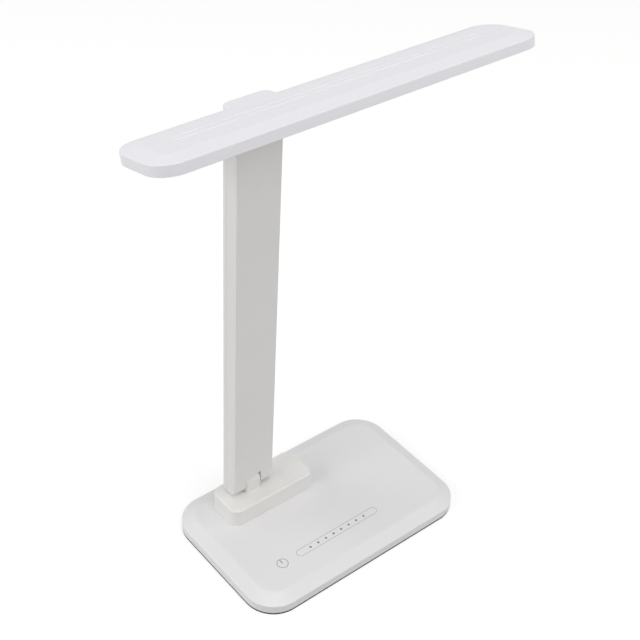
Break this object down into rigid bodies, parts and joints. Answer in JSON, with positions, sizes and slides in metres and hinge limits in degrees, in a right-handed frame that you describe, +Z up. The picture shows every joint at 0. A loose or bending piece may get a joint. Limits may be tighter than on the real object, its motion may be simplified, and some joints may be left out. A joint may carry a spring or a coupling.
{
  "type": "folding desk lamp",
  "caption": "Folding desk lamp: long light head on a flat stem, with friction hinges at both ends, standing on a flat weighted base with touch controls.",
  "frame": {"origin": "middle of the anti-slip pad's underside, which the lamp rests on", "axes": "+Z up, +X to the right along the base's long edge, +Y to the back; the touch controls are at the front"},
  "size_m": [0.2955, 0.1216, 0.3589],
  "materials": {
    "anti_slip_pad": "matt foam rubber",
    "white_abs": "white moulded ABS, satin gloss",
    "white_abs_head": "white moulded ABS, gloss",
    "steel_plate": "zinc-plated steel sheet",
    "steel_hardware": "nickel-plated steel",
    "circuit_board": "green glass-epoxy board",
    "foam_tape": "black foam tape",
    "black_parts": "black epoxy packages",
    "wire_jacket": "white PVC wire jacket",
    "aluminium_board": "aluminium-core board, white solder mask",
    "led_chip": "yellow phosphor LED package",
    "white_reflector": "white matt reflector",
    "opal_acrylic": "opal acrylic, satin"
  },
  "bodies": {
    "base": {"anti_slip_pad": "anti_slip_pad", "base_bottom_cover": "white_abs", "base_top_cover": "white_abs", "weight_plate": "steel_plate", "touch_board": "circuit_board", "touch_tape": "foam_tape", "touch_components": "black_parts", "power_inlet": "steel_hardware", "power_board": "circuit_board", "power_lead": "wire_jacket", "base_screws": "steel_hardware", "hinge_pedestal": "white_abs", "pedestal_screws": "steel_hardware", "base_hinge_pin": "steel_hardware", "base_friction_washers": "steel_hardware", "base_wire": "wire_jacket"},
    "stem": {"stem_front_shell": "white_abs", "stem_rear_cover": "white_abs", "stem_spine": "steel_plate", "stem_screws": "steel_hardware", "stem_wire": "wire_jacket", "lower_hinge_cap": "white_abs", "upper_hinge_cap": "white_abs"},
    "head": {"head_top_cover": "white_abs_head", "head_bezel": "white_abs", "diffuser": "opal_acrylic", "reflector": "white_reflector", "led_board": "aluminium_board", "leds": "led_chip", "head_knuckle": "white_abs", "knuckle_screws": "steel_hardware", "head_screws": "steel_hardware", "head_hinge_pin": "steel_hardware", "head_friction_washers": "steel_hardware", "head_wire": "wire_jacket"}
  },
  "joints": [
    {"name": "stem_fold", "type": "hinge", "parent": "base", "child": "stem", "pos_m": [-0.0413, 0.0353, 0.03575], "axis": [1, 0, 0], "range_deg": [0, 90]},
    {"name": "head_tilt", "type": "hinge", "parent": "stem", "child": "head", "pos_m": [-0.0413, 0.0353, 0.33255], "axis": [1, 0, 0], "range_deg": [-46.5, 103.5]}
  ]
}
